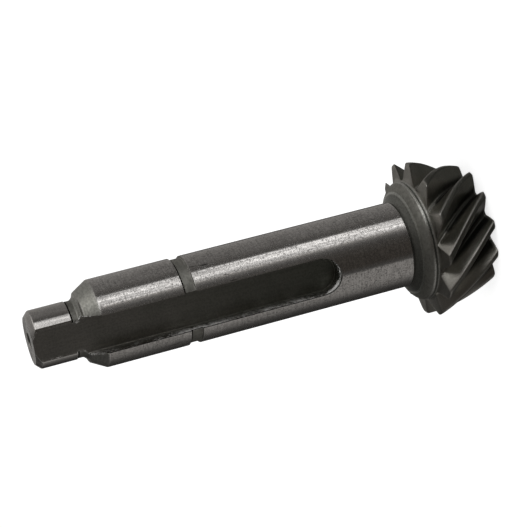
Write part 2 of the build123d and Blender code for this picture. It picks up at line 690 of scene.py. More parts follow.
@dataclass
class SlottedShank:
    """Hub, journals, lead cone, neck and stub in one turning, with the slot milled in.

    The slot's wall has a row of points at each share of its height in wall_rows, each with the
    most painted sheen that it takes in the closed end. The arc's painted sheen goes by degrees
    from its tip.
    """

    hub_base_z: float = 16.0
    rim_r: float = 15.45
    rim_low_z: float = 16.35
    line_z: float = 16.8
    line_half: float = 0.35
    rim_top_z: float = 17.4
    shoulder_r: float = 13.0
    shoulder_z: float = 19.4
    shoulder_bulge: float = 0.45
    shoulder_steps: int = 8
    hub_top_z: float = 20.8
    undercut_r: float = 10.75
    journal_low_z: float = 21.2
    journal_r: float = 11.0
    groove_low_z: float = 77.0
    groove_high_z: float = 80.0
    groove_r: float = 10.5
    lead_cone_z: float = 100.8
    lead_cone_r: float = 8.8
    neck_low_z: float = 104.6
    neck_r: float = 7.05
    neck_corner: float = 0.9
    stub_low_z: float = 107.5
    stub_r: float = 7.25
    stub_chamfer: float = 1.25
    top_z: float = 117.6
    hole: CentreHole = CentreHole()
    slot_half: float = 4.75
    slot_floor_y: float = 5.9
    slot_centre_z: float = 45.2
    slot_lip: float = 0.22
    slot_fillet: float = 0.25
    # painted shade on the slot's floor, darkest at the closed end
    painted_slot_shade: float = 0.56
    shallowest_wall: float = 0.02
    # painted shade at the wall's foot, and a painted dark line at the wall's top
    painted_wall_shade: float = 0.2
    wall_top_shade: float = 1.0
    # wear up the wall: rubbed burr, with painted highlight towards the wall's top
    wall_growth: float = 1.3
    wall_rows: tuple[Point2, ...] = ((0.0, 0.0), (0.4, 0.0), (0.75, 1.0), (0.91, 0.2))
    # painted sheen on the closed end's wall, by degrees from its tip
    arc_painted_sheen: tuple[Point2, ...] = (
        (0.0, 0.2),
        (28.0, 0.25),
        (42.0, 1.0),
        (70.0, 1.0),
        (82.0, 0.1),
        (90.0, 0.0),
    )
    end_wear: float = 0.25
    lip_wear: float = 0.8
    flat_ease: float = 0.2
    flat_share: float = 0.4
    flat_wear: float = 0.1
    # painted shade on the hub cone
    painted_hub_shade: float = 0.48
    # painted shade in the undercut
    painted_undercut_shade: float = 0.7
    neck_dirt: float = 0.15
    # length of the painted shadow line at the foot of a step
    corner_line: float = 0.4
    line_fade: float = 0.05
    step_slope: float = 0.02
    corner_steps: int = 4
    shortest_gap: float = 0.45
    narrow_gap: float = 0.7
    beside: float = 0.3
    longest_gap: float = 3.0
    end_clearance: float = 0.2
    fixed_angle: float = 42.0
    least_near: float = 2.0
    floor_columns: int = 7
    fillet_columns: int = 3
    lip_columns: int = 3
    near_columns: int = 14
    far_columns: int = 72
    round_rows: int = 18
    crease: float = 34.0

    @property
    def slot_columns(self) -> int:
        """Number of faces from the slot's middle to the outer side of its lip."""
        return self.floor_columns + self.fillet_columns + len(self.wall_rows) + self.lip_columns

    def profile(self) -> list[Corner]:
        """The turned outline.

        Returns:
            Its corners from the hub's hidden base to the axis at the free end.
        """
        g, t, o, f = Surface.GROUND, Surface.TURNED, Surface.OXIDE, Surface.FINE
        hole, top, bulge, slope = self.hole, self.top_z, self._shoulder(), self.step_slope
        return [
            Corner(0.0, self.hub_base_z),
            Corner(self.rim_r - 0.1, self.hub_base_z),
            Corner(self.rim_r, self.rim_low_z),
            Corner(self.rim_r, self.line_z - self.line_half, 0.05),
            # painted shade in the small groove round the rim
            Corner(self.rim_r - self.line_half, self.line_z, 0.08, t, 0.65),
            Corner(self.rim_r, self.line_z + self.line_half, 0.05),
            Corner(self.rim_r, self.rim_top_z, 0.3),
            *[Corner(r, z, 0.0, o) for r, z in bulge[1:-2]],
            Corner(*bulge[-2]),
            Corner(self.shoulder_r, self.shoulder_z, 0.5, worn=0.0),
            # painted shade on the hub cone
            Corner(self.shoulder_r - 0.3, self.shoulder_z + 0.2, dirt_and_shade=self.painted_hub_shade),
            Corner(self.undercut_r + 0.15, self.hub_top_z - 0.1, dirt_and_shade=self.painted_hub_shade),
            # painted shade in the undercut before the journal
            Corner(self.undercut_r, self.hub_top_z, 0.05, o, self.painted_undercut_shade),
            Corner(self.undercut_r, self.journal_low_z - slope, 0.04, o, self.painted_undercut_shade),
            Corner(self.journal_r, self.journal_low_z + slope, 0.16, g),
            Corner(self.journal_r, self.groove_low_z - slope, 0.12, o),
            Corner(self.groove_r, self.groove_low_z + slope, 0.1, o),
            # painted shadow line at the foot of the step out of the groove
            *self._dark_foot(self.groove_r, self.groove_high_z, 0.0),
            Corner(self.groove_r, self.groove_high_z - slope, 0.05, o, 1.0),
            Corner(self.journal_r, self.groove_high_z + slope, 0.08, g),
            Corner(self.journal_r, self.lead_cone_z, 0.25),
            Corner(self.lead_cone_r, self.neck_low_z, 0.12),
            Corner(self.neck_r + self.neck_corner, self.neck_low_z + self.neck_corner / 3, 0.1),
            Corner(self.neck_r, self.neck_low_z + self.neck_corner * 4 / 3, 0.4, o, self.neck_dirt),
            # painted shadow line at the foot of the step up to the stub
            *self._dark_foot(self.neck_r, self.stub_low_z, self.neck_dirt),
            Corner(self.neck_r, self.stub_low_z - slope / 2, 0.04, o, 1.0),
            Corner(self.stub_r, self.stub_low_z + slope / 2, 0.05, f),
            Corner(self.stub_r, top - self.stub_chamfer, 0.3, f),
            Corner(self.stub_r - self.stub_chamfer, top, 0.4, g),
            Corner(self.slot_floor_y, top, 0.0, g),
            Corner(hole.mouth_r, top, 0.12, g),
            # painted shade in the centre hole
            Corner(hole.mouth_r - 0.15, top - 0.26, dirt_and_shade=0.8),
            Corner(hole.pilot_r, top - hole.cone_depth, dirt_and_shade=0.9),
            Corner(hole.pilot_r, top - hole.cone_depth - 0.05, dirt_and_shade=1.0),
            Corner(hole.pilot_r, top - hole.pilot_depth, dirt_and_shade=1.0),
            Corner(0.0, top - hole.tip_depth, dirt_and_shade=1.0),
        ]

    def _dark_foot(self, r: float, z: float, dirt_and_shade: float) -> list[Corner]:
        """A painted shadow line at the foot of a step up.

        Args:
            r: radius below the step.
            z: height of the step.
            dirt_and_shade: darkening before the line.

        Returns:
            The two corners between which the painted shadow sets in.
        """
        start, dark = z - self.corner_line, Surface.OXIDE
        line = Corner(r, start + self.line_fade, 0.0, dark, 1.0)
        return [Corner(r, start, 0.0, dark, dirt_and_shade), line]

    def _shoulder(self) -> list[Point2]:
        """The bulged shoulder between the rim and the hub cone.

        Returns:
            Points of its arc, both ends included.
        """
        first = (self.rim_r, self.rim_top_z)
        last = (self.shoulder_r, self.shoulder_z)
        middle = tuple((a + b + self.shoulder_bulge) / 2 for a, b in zip(first, last))
        centre = circle_centre(first, middle, last)
        spokes = [(r - centre[0], z - centre[1]) for r, z in (first, last)]
        (radius, start), (_, end) = (polar(spoke) for spoke in spokes)
        steps = self.shoulder_steps
        turns = [start + (end - start) * i / steps for i in range(steps + 1)]
        return [(centre[0] + radius * cos(a), centre[1] + radius * sin(a)) for a in turns]

    def stations(self) -> list[Station]:
        """The loops that the skin passes through, from the base to the free end.

        Returns:
            Stations with the corners rounded and the long stretches divided.
        """
        corners = self.profile()
        rounded: list[Station] = []
        for index, corner in enumerate(corners):
            here = (corner.r, corner.z)
            if corner.ease <= 0:
                rounded.append(Station(*here, 0.0, corner.surface, corner.dirt_and_shade))
                continue
            ends = []
            for beside in (corners[index - 1], corners[index + 1]):
                there = (beside.r, beside.z)
                reach = min(corner.ease, dist(here, there) * MOST_EASED)
                ends.append(along(here, there, reach / dist(here, there)))
            for step, point in enumerate(eased_corner(ends[0], here, ends[1], self.corner_steps)):
                first_half = step < self.corner_steps / 2
                surface = corners[index - 1].surface if first_half else corner.surface
                worn = corner.worn if 0 < step < self.corner_steps else corner.worn / 2
                rounded.append(Station(*point, 0.0 if corner.dirt_and_shade else worn, surface, corner.dirt_and_shade))
        return self._divided(rounded)

    def _divided(self, rounded: list[Station]) -> list[Station]:
        """Adds stations on long stretches and one beside each rounding.

        Args:
            rounded: stations at the corners alone.

        Returns:
            All stations in order.
        """
        stations = [rounded[0]]
        for last, this in zip(rounded, rounded[1:]):
            ends = [(s.r, s.z, s.dirt_and_shade) for s in (last, this)]
            length = dist(ends[0][:2], ends[1][:2])
            if length > self.shortest_gap:
                near = self.beside / length if length > self.narrow_gap else 0.5
                pieces = ceil(length / self.longest_gap)
                shares = {near, 1 - near}
                shares |= {i / pieces for i in range(1, pieces) if near < i / pieces < 1 - near}
                for share in sorted(shares):
                    r, z, dirt_and_shade = along(*ends, share)
                    stations.append(Station(r, z, 0.0, last.surface, dirt_and_shade))
            stations.append(this)
        return stations

    def build(self) -> bpy.types.Object:
        """Makes the shank's mesh.

        Returns:
            The finished piece, without materials.
        """
        tip_z = self.slot_centre_z - self.slot_half - self.slot_lip - self.end_clearance
        rows: list[Row] = []
        for station in self.stations():
            in_end = tip_z < station.z < self.slot_centre_z and station.r > self.groove_r
            if in_end and station.worn == 0:
                continue
            if station.z >= self.slot_centre_z and not any(slotted for _, slotted, _ in rows):
                turns = [pi / 2 * i / self.round_rows for i in range(self.round_rows + 1)]
                rows += [(self._round_row(turn), True, Surface.GROUND) for turn in turns]
            slotted = station.z >= self.slot_centre_z and station.r >= self.slot_floor_y
            half = self._straight_row(station) if slotted else self._plain_row(station)
            rows.append((half, slotted, station.surface))
        skin = Skin()
        self._lay(skin, rows)
        rough = make_object("rough_shank", skin.finish("rough_shank", self.crease))
        return settle(rough, "slotted_shank")

    def _lay(self, skin: Skin, rows: list[Row]) -> None:
        """Joins the rows into faces on both halves.

        Args:
            skin: the skin to fill.
            rows: half loops from the base to the free end.
        """
        grids = []
        for half, _, _ in rows:
            mirrored = [(-p[0], *p[1:]) for p in half]
            grids.append([[skin.point(p) for p in side] for side in (half, mirrored)])
        for index in range(len(rows) - 1):
            both = rows[index][1] and rows[index + 1][1]
            surface = rows[index][2]
            milled = self.slot_columns - (0 if surface is Surface.TURNED else self.lip_columns)
            for low, high in zip(grids[index], grids[index + 1]):
                for k in range(0 if both else self.slot_columns, len(low) - 1):
                    chosen = Surface.MILLED if k < milled else surface
                    skin.face((low[k], low[k + 1], high[k + 1], high[k]), chosen.value)

    def _arc(self, r: float, z: float, start: float, worn: float, dirt_and_shade: float) -> list[Spot]:
        """Points round half the loop.

        Args:
            r: radius of the loop.
            z: its height.
            start: angle in degrees off the slot's middle that the arc leaves.
            worn: wear of the loop.
            dirt_and_shade: its painted shade.

        Returns:
            Points from just past the start to the back.
        """
        split = max(self.fixed_angle, start + self.least_near)
        near, far = self.near_columns, self.far_columns
        turns = [start + (split - start) * i / near for i in range(1, near)]
        turns += [split + (180 - split) * i / far for i in range(far + 1)]
        points = [(r * sin(radians(a)), -r * cos(radians(a)), z, worn, dirt_and_shade) for a in turns]
        return points[:-1] + [(0.0, *points[-1][1:])]

    def _painted_floor_shade(self, z: float) -> float:
        """Painted shade on the slot's floor, which grows from the free end to the closed end."""
        return self.painted_slot_shade * held((self.neck_low_z - z) / (self.neck_low_z - self.slot_centre_z))

    def _plain_row(self, station: Station) -> list[Spot]:
        """Half of a full round loop.

        Args:
            station: the loop.

        Returns:
            Points from the front, where the slot's columns lie in one place, to the back.
        """
        r, z, worn, dirt_and_shade = station.r, station.z, station.worn, station.dirt_and_shade
        front = [(0.0, -r, z, worn, dirt_and_shade)] * (self.slot_columns + 1)
        return front + self._arc(r, z, 0.0, worn, dirt_and_shade)

    def _straight_row(self, station: Station) -> list[Spot]:
        """Half of a loop that crosses the slot, or the flat of the stub.

        Args:
            station: the loop.

        Returns:
            Points with their wear and painted shade, from the middle of the floor to the back.
        """
        r, z, floor = station.r, station.z, self.slot_floor_y
        wall = sqrt(max(r * r - self.slot_half**2, 0.0)) - floor
        if wall > self.shallowest_wall:
            lip = min(self.slot_lip, wall * MOST_EASED)
            fillet = min(self.slot_fillet, wall * MOST_EASED)
            return self._cut_row(r, z, pi / 2, lip, fillet, station.worn, station.dirt_and_shade)
        edge_x = sqrt(max(r * r - floor * floor, 0.0))
        ease = min(self.flat_ease, edge_x * self.flat_share)
        edge = (edge_x, -floor, z)
        start = (edge_x - ease, -floor, z)
        turn = asin(min(edge_x / r, 1.0)) + ease / r
        end = (r * sin(turn), -r * cos(turn), z)
        columns = self.floor_columns
        row = [(start[0] * i / columns, -floor, z, 0.0, 0.0) for i in range(columns)]
        row += [(*start, self.flat_wear, 0.0)] * (self.fillet_columns + len(self.wall_rows))
        row += [(*p, 1.0, station.dirt_and_shade) for p in eased_corner(start, edge, end, self.lip_columns)]
        return row + self._arc(r, z, degrees(turn), station.worn, station.dirt_and_shade)

    def _round_row(self, turn: float) -> list[Spot]:
        """Half of a loop that crosses the slot's round end, turn radians from its tip."""
        return self._cut_row(self.journal_r, None, turn, self.slot_lip, self.slot_fillet, 0.0, 0.0)

    def _cut_row(
        self,
        r: float,
        z: float | None,
        turn: float,
        lip: float,
        fillet: float,
        worn: float,
        dirt_and_shade: float,
    ) -> list[Spot]:
        """Half of a loop that goes across the slot's floor, up its wall and round the shank.

        Args:
            r: radius of the shank there.
            z: height of the loop, or None in the round end, where turn gives it.
            turn: angle round the slot's end, 0 at its tip and a quarter turn at its side.
            lip: rounding of the slot's rim.
            fillet: rounding between wall and floor.
            worn: wear of the loop where it runs round the shank.
            dirt_and_shade: painted shade of the loop there.

        Returns:
            Points with their wear, painted sheen and painted shade, from the floor's middle to the
            back.
        """

        def reach(offset: float) -> Point2:
            """X and Z at an offset outward from the slot's wall."""
            far = self.slot_half + offset
            return far * sin(turn), self.slot_centre_z - far * cos(turn) if z is None else z

        floor_y = -self.slot_floor_y
        (out_x, out_z), (wall_x, wall_z), (in_x, in_z) = reach(lip), reach(0.0), reach(-fillet)
        rim_y = -sqrt(r * r - wall_x * wall_x)
        outer = (out_x, -sqrt(r * r - out_x * out_x), out_z)
        wall_top = (wall_x, rim_y + lip, wall_z)
        wall_foot = (wall_x, floor_y - fillet, wall_z)
        corner = ((in_x, floor_y, in_z), (wall_x, floor_y, wall_z), wall_foot)
        # painted shade on the floor, deeper towards the slot's closed end
        depth = self._painted_floor_shade(wall_z)
        columns = self.floor_columns
        row = [(in_x * i / columns, floor_y, in_z, 0.0, depth) for i in range(columns)]
        row += [(*p, 0.0, depth) for p in eased_corner(*corner, self.fillet_columns)[:-1]]
        # painted sheen: a pale band on the closed end's wall that stands in for a highlight
        painted_sheen = read_line(self.arc_painted_sheen, degrees(turn))
        for share, most_sheen in self.wall_rows:
            # rubbed burr, and a painted highlight towards the top of the wall
            wear_and_sheen = min(self.wall_growth * share, 1.0)
            if z is None:
                wear_and_sheen = 1.0 + min(painted_sheen, most_sheen) if most_sheen else wear_and_sheen * self.end_wear
            # painted shade, darker towards the wall's foot
            dim = self.painted_wall_shade * depth * (1 - share)
            row.append((*along(wall_foot, wall_top, share), wear_and_sheen, dim))
        edge = eased_corner(wall_top, (wall_x, rim_y, wall_z), outer, self.lip_columns)
        # a painted dark line at the top of the wall, under the lip
        row += [(*p, 0.0, max(self.wall_top_shade, dirt_and_shade)) for p in edge[:2]]
        row += [(*p, self.lip_wear, dirt_and_shade) for p in edge[2:]]
        return row + self._arc(r, out_z, degrees(asin(out_x / r)), worn, dirt_and_shade)

    def dress(self, piece: bpy.types.Object) -> None:
        """Puts the finishes of the shank in the piece's slots, in the order of Surface."""
        for finish in (GROUND, TURNED, MILLED, OXIDE, FINE):
            piece.data.materials.append(finish.make())


# ---------------------------------------------------------------- the teeth


@dataclass
class SpiralTeeth:
    """The toothed head: one pitch of the rim, twisted and repeated round the axis."""

    count: int = 12
    face_length: float = 15.5
    heel_root_z: float = 16.2
    toe_tip_r: float = 15.5
    heel_tip_r: float = 20.4
    toe_root_r: float = 11.55
    heel_root_r: float = 15.6
    rim_step: float = 0.15
    hole: CentreHole = CentreHole()
    space_phase: float = -0.7
    lead: float = -2.95
    lead_growth: float = -0.0034
    land_toe: float = 0.407
    land_middle: float = 0.313
    land_heel: float = 0.473
    side: tuple[Point2, ...] = ((0.0, 0.0), (0.0, 0.13), (0.10, 0.25), (0.42, 0.455))
    side_overrun: float = 1.35
    edge_ease: float = 0.42
    edge_clearance: float = 1.3
    spare_share: float = 0.8
    # painted shade in the tooth spaces: darkest deep in them, less on the flank that doesn't drive
    # and towards the open heel; the tooth tops are darkened too
    painted_root_shade: float = 0.90
    painted_drive_shade: float = 0.10
    land_darkening: float = 0.48
    land_depth: float = 0.08
    coast_shade_delay: float = 0.24
    # painted shade on the heel faces and on the toe's edge
    painted_heel_shade: float = 0.20
    heel_worn_drop: float = 0.4
    toe_shade_share: float = 0.5
    shade_start_line: tuple[Point2, ...] = (
        (0.0, 0.22),
        (4.0, 0.32),
        (8.0, 0.44),
        (12.4, 0.62),
        (15.0, 1.3),
    )
    shade_fade: float = 0.34
    flank_steps: int = 14
    edge_steps: int = 3
    land_steps: int = 3
    length_steps: int = 34
    heel_steps: int = 4
    heel_halvings: int = 40
    crease: float = 40.0

    @property
    def heel_slope(self) -> float:
        """Radius that the back cone loses per millimetre of height."""
        return (self.heel_tip_r - self.heel_root_r) / (self.heel_root_z - self.face_length)

    def tip_radius(self, z: float) -> float:
        """Radius of the tooth tops at height z."""
        return self.toe_tip_r + (self.heel_tip_r - self.toe_tip_r) * z / self.face_length

    def root_radius(self, z: float) -> float:
        """Radius of the spaces' floor at height z."""
        return self.toe_root_r + (self.heel_root_r - self.toe_root_r) * z / self.heel_root_z

    def land_share(self, z: float) -> float:
        """Share of half the pitch that a tooth's top takes.

        Args:
            z: height along the tooth.

        Returns:
            The share, on a curve through those of toe, middle and heel.
        """
        t = z / self.face_length
        toe = self.land_toe * (1 - t) * (1 - 2 * t)
        middle = self.land_middle * 4 * t * (1 - t)
        return toe + middle + self.land_heel * t * (2 * t - 1)

    def flank_path(self, z: float) -> list[Point2]:
        """Half of a space's outline.

        Args:
            z: height of the outline.

        Returns:
            Depth share and width share from the middle of the floor to the tooth's top edge.
        """
        knots = [*self.side, (1.0, 1 - self.land_share(z) / 2)]
        before = (knots[1][0], -knots[1][1])
        track = [before, *knots, along(knots[-2], knots[-1], self.side_overrun)]
        path = []
        legs = len(knots) - 1
        for index in range(self.flank_steps + 1):
            t = index / self.flank_steps * legs
            leg = min(int(t), legs - 1)
            path.append(smooth_between(track[leg : leg + 4], t - leg))
        return path

    def outline(self, z: float) -> list[Point3]:
        """Half of one pitch, from the space's middle to the middle of the tooth's top.

        Args:
            z: height of the outline.

        Returns:
            Radius, angle in radians and wear of each point.
        """
        half = pi / self.count
        root, tip = self.root_radius(z), self.tip_radius(z)
        flat = [(root + (tip - root) * s, half * w) for s, w in self.flank_path(z)]
        plane = [(r * cos(a), r * sin(a)) for r, a in flat]
        corner, ease = plane[-1], self.edge_ease
        start = along(corner, plane[-2], ease / dist(corner, plane[-2]))
        land = flat[-1][1] + ease / tip
        end = (tip * cos(land), tip * sin(land))
        kept = [p for p in plane[:-1] if dist(p, corner) > ease * self.edge_clearance]
        points = [(*polar(p), 0.0) for p in kept]
        spare = (*polar(along(plane[-3], start, self.spare_share)), 0.0)
        points += [spare] * (self.flank_steps - len(points))
        points += [(*polar(p), 1.0) for p in eased_corner(start, corner, end, self.edge_steps)]
        steps = self.land_steps
        return points + [(tip, land + (half - land) * i / steps, 0.0) for i in range(1, steps + 1)]

    def column(self, index: int, coast: bool) -> list[Spot]:
        """One line of points from the toe's centre hole over the tooth to the hidden heel cap.

        Args:
            index: place in the outline, 0 at the middle of the space.
            coast: True on the flank that doesn't drive, which gets less painted shade.

        Returns:
            Radius, angle, height, wear and painted shade of each point.
        """
        ease, hole, slope = self.edge_ease, self.hole, self.heel_slope

        def surface(z: float) -> Spot:
            """The point of this column on the tooth surface at height z."""
            r, angle, worn = self.outline(z)[index]
            return r, angle, z, worn, self._painted_space_shade(r, z, coast)

        r0, angle0, _, _, toe_space_shade = surface(0.0)
        heel_z = self._solve_heel(index)
        r1, angle1, _, _, _ = surface(heel_z)
        line = [
            # painted shade in the toe's centre hole
            (0.0, angle0, hole.tip_depth, 0.0, 1.0),
            (hole.pilot_r, angle0, hole.pilot_depth, 0.0, 1.0),
            (hole.pilot_r, angle0, hole.cone_depth, 0.0, 0.8),
            (hole.mouth_r, angle0, 0.0, 0.5, 0.0),
            (hole.mouth_r + 0.3, angle0, 0.0, 0.0, 0.0),
            (self.toe_root_r * 0.6, angle0, 0.0, 0.0, 0.0),
            (self.toe_root_r * 0.96 - 0.3, angle0, 0.0, 0.0, 0.0),
        ]
        toe = ((r0 - ease, angle0, 0.0), (r0, angle0, 0.0), surface(ease)[:3])
        # painted shade on the toe's rounded edge, a share of the space's
        dim = toe_space_shade * self.toe_shade_share
        line += [(*p, 1.0, dim) for p in eased_corner(*toe, self.edge_steps)]
        reach = heel_z - 2 * ease
        line += [surface(ease + reach * i / self.length_steps) for i in range(1, self.length_steps)]
        drop = max(r1 - self.heel_root_r, 0.0)
        bite = min(ease, drop * MOST_EASED)
        before = surface(heel_z - max(bite, 0.02))
        after = (r1 - bite, angle1, heel_z + bite / slope)
        heel = eased_corner(before[:3], (r1, angle1, heel_z), after, self.edge_steps)
        # painted shade on the heel faces
        line += [(*p, held(drop / self.heel_worn_drop), self.painted_heel_shade) for p in heel]
        foot = (self.heel_root_r, angle1, self.heel_root_z)
        shares = [step / self.heel_steps for step in range(1, self.heel_steps + 1)]
        line += [(*along(after, foot, share), 0.0, self.painted_heel_shade) for share in shares]
        cap_z = self.heel_root_z + self.rim_step
        line.append((self.heel_root_r - self.rim_step, angle1, cap_z, 0.2, 0.0))
        line.append((self.heel_root_r * 0.5, angle1, cap_z, 0.0, 0.0))
        line.append((0.0, angle1, cap_z, 0.0, 0.0))
        return line

    def _painted_space_shade(self, r: float, z: float, coast: bool) -> float:
        """Painted shade in a space: dark at its floor, light at the tooth tops and near the open
        heel.

        Args:
            r: radius of the point.
            z: height of the point.
            coast: True on the flank that doesn't drive.

        Returns:
            The share of the steel that the painted shade darkens.
        """
        tip = self.tip_radius(z)
        depth = held((tip - r) / (tip - self.root_radius(z)))
        start = read_line(self.shade_start_line, z) + (self.coast_shade_delay if coast else 0.0)
        share = held((depth - start) / self.shade_fade)
        top = 1.0 - min(depth / self.land_depth, 1.0)
        thin = self.land_darkening * top + (0.0 if coast else self.painted_drive_shade * (1.0 - top))
        return max(self.painted_root_shade * share * share * (3 - 2 * share), thin)

    def _solve_heel(self, index: int) -> float:
        """Finds where a column of the outline meets the heel's back cone.

        Args:
            index: place of the column in the outline.

        Returns:
            The height.
        """
        low, high = self.face_length - 0.5, self.heel_root_z
        for _ in range(self.heel_halvings):
            z = (low + high) / 2
            cone_r = self.heel_tip_r - self.heel_slope * (z - self.face_length)
            if self.outline(z)[index][0] > cone_r:
                high = z
            else:
                low = z
        return (low + high) / 2

    def one_pitch(self) -> bpy.types.Mesh:
        """One untwisted pitch, from the middle of one tooth's top to the next.

        Returns:
            A mesh that is open only at its two sides.
        """
        skin = Skin()
        total = self.flank_steps + self.edge_steps + self.land_steps + 1
        drive = [self.column(i, False) for i in range(1, total)]
        both = [[(r, -a, *rest) for r, a, *rest in column] for column in reversed(drive)]
        both += [self.column(i, i > 0) for i in range(total)]
        grid = [
            [skin.point((r * cos(a), r * sin(a), *rest)) for r, a, *rest in line] for line in both
        ]
        for left, right in zip(grid, grid[1:]):
            for k in range(len(left) - 1):
                skin.face((left[k], right[k], right[k + 1], left[k + 1]))
        return skin.finish("one_pitch", self.crease)

    def _repeat_tree(self) -> bpy.types.NodeTree:
        """Geometry nodes that twist one pitch along the spiral and repeat it round the axis.

        Returns:
            The node group, with named inputs.
        """
        group = bpy.data.node_groups.new("spiral teeth", "GeometryNodeTree")
        face = group.interface
        for name, kind in (
            ("Pitch", "Geometry"),
            ("Tooth Count", "Int"),
            ("Space Phase", "Float"),
            ("Spiral Lead", "Float"),
            ("Lead Growth", "Float"),
            ("Weld Distance", "Float"),
            ("Finish", "Material"),
        ):
            face.new_socket(name, in_out="INPUT", socket_type=f"NodeSocket{kind}")
        face.new_socket("Teeth", in_out="OUTPUT", socket_type="NodeSocketGeometry")
        tree = Tree(group)
        given = group.nodes.new("NodeGroupInput")
        asked = {s.name: Wire(tree, s) for s in given.outputs if s.name}
        place = tree.add("GeometryNodeInputPosition")
        height = tree.add("ShaderNodeSeparateXYZ", {"Vector": place}, "Z") / MM
        turn = asked["Space Phase"] + height * asked["Spiral Lead"]
        turn = (turn + height * height * asked["Lead Growth"]) * (pi / 180)
        sockets = {"Vector": place, "Angle": turn}
        twisted = tree.add("ShaderNodeVectorRotate", sockets, rotation_type="Z_AXIS")
        sockets = {"Geometry": asked["Pitch"], "Position": twisted}
        bent = tree.add("GeometryNodeSetPosition", sockets)
        sockets = {"Count": asked["Tooth Count"], "Offset": grey(0.0)}
        seats = tree.add("GeometryNodeMeshLine", sockets, mode="OFFSET")
        around = tree.add("GeometryNodeInputIndex") * (2 * pi) / asked["Tooth Count"]
        angles = tree.add("ShaderNodeCombineXYZ", {"Z": around})
        aim = tree.add("FunctionNodeEulerToRotation", {"Euler": angles})
        sockets = {"Points": seats, "Instance": bent, "Rotation": aim}
        ring = tree.add("GeometryNodeInstanceOnPoints", sockets)
        solid = tree.add("GeometryNodeRealizeInstances", {"Geometry": ring})
        sockets = {"Geometry": solid, "Distance": asked["Weld Distance"]}
        welded = tree.add("GeometryNodeMergeByDistance", sockets)
        sockets = {"Geometry": welded, "Material": asked["Finish"]}
        tree.add("NodeGroupOutput", {"Teeth": tree.add("GeometryNodeSetMaterial", sockets)})
        return group

    def build(self) -> bpy.types.Object:
        """Makes the toothed head from one pitch.

        Returns:
            The finished piece with its material.
        """
        piece = make_object("one_pitch", self.one_pitch())
        group = self._repeat_tree()
        modifier = piece.modifiers.new("spiral teeth", "NODES")
        modifier.node_group = group
        values = {
            "Tooth Count": self.count,
            "Space Phase": self.space_phase,
            "Spiral Lead": self.lead,
            "Lead Growth": self.lead_growth,
            "Weld Distance": WELD,
            "Finish": CUT.make(),
        }
        for item in group.interface.items_tree:
            if item.in_out == "INPUT" and item.name in values:
                modifier[item.identifier] = values[item.name]
        return settle(piece, "spiral_teeth")


# ---------------------------------------------------------------- the studio


@dataclass(frozen=True)
class Card:
    """A card of the reflection tent.

    Its glow is given at turns round the view's level axis: 0 and 1 lie behind the object and
    0.5 behind the camera. Its warmth is the share of blue that it lacks.
    """

    name: str
    glow_at: tuple[Point2, ...]
    warm: float = 0.07

    def stops(self) -> list[tuple[float, Colour]]:
        """The card as stops of a colour ramp."""
        tint = (1.0, 1.0 - self.warm / 2, 1.0 - self.warm)
        return [(turn, tuple(glow * part for part in tint)) for turn, glow in self.glow_at]


FRONT_CARDS = (
    Card("gap at the table's far edge", ((0.030, 0.010),)),
    Card("dark table edge", ((0.055, 0.028), (0.100, 0.035))),
    Card("foot of the low card", ((0.145, 0.064),)),
    Card("low card", ((0.190, 0.160), (0.240, 0.240), (0.370, 0.240))),
    Card("top of the low card", ((0.387, 0.066),)),
    Card("dark gap", ((0.430, 0.044),), 0.22),
    Card("upper dark gap", ((0.530, 0.050),), 0.20),
    Card("foot of the window", ((0.578, 0.095), (0.600, 0.185), (0.615, 0.420))),
    Card("window", ((0.628, 0.820), (0.650, 0.930), (0.680, 0.930), (0.706, 0.900)), 0.02),
    Card("ceiling", ((0.711, 0.080), (0.735, 0.088), (0.758, 0.118)), 0.09),
    Card("end of the ceiling", ((0.785, 0.160),)),
    Card("far wall", ((0.860, 0.215), (0.925, 0.270))),
    Card("gap behind the table", ((0.952, 0.030),)),
)
LEFT_CARDS = (
    Card("foot of the far wall", ((0.000, 0.330), (0.018, 0.300), (0.024, 0.190), (0.045, 0.130))),
    Card("dark table edge", ((0.065, 0.050), (0.130, 0.036))),
    Card("low side card", ((0.200, 0.055), (0.300, 0.085), (0.420, 0.100))),
    Card("foot of the side window", ((0.510, 0.180),)),
    Card("side window", ((0.560, 0.340), (0.600, 0.540), (0.650, 0.780), (0.700, 0.600))),
    Card("ceiling", ((0.780, 0.300), (0.940, 0.260))),
    Card("far wall", ((1.000, 0.330),)),
)
FAR_LEFT_CARDS = (
    Card("foot of the far wall", ((0.030, 0.200),)),
    Card("dark table edge", ((0.080, 0.060),)),
    Card("low side card", ((0.250, 0.095), (0.470, 0.140))),
    Card("side wall", ((0.560, 0.235), (0.900, 0.245))),
    Card("far wall", ((0.970, 0.290),)),
)


@dataclass(frozen=True)
class Lamp:
    """A large soft lamp: its place and size in metres and its power in watts."""

    name: str
    place: Point3
    size: float
    power: float


LAMPS = (
    Lamp("key_lamp", (0.9, -0.7, 1.1), 1.0, 9.0),
    Lamp("fill_lamp", (-0.8, -0.9, 1.2), 1.2, 6.0),
    Lamp("back_lamp", (-0.3, 1.1, 1.2), 1.2, 6.0),
)


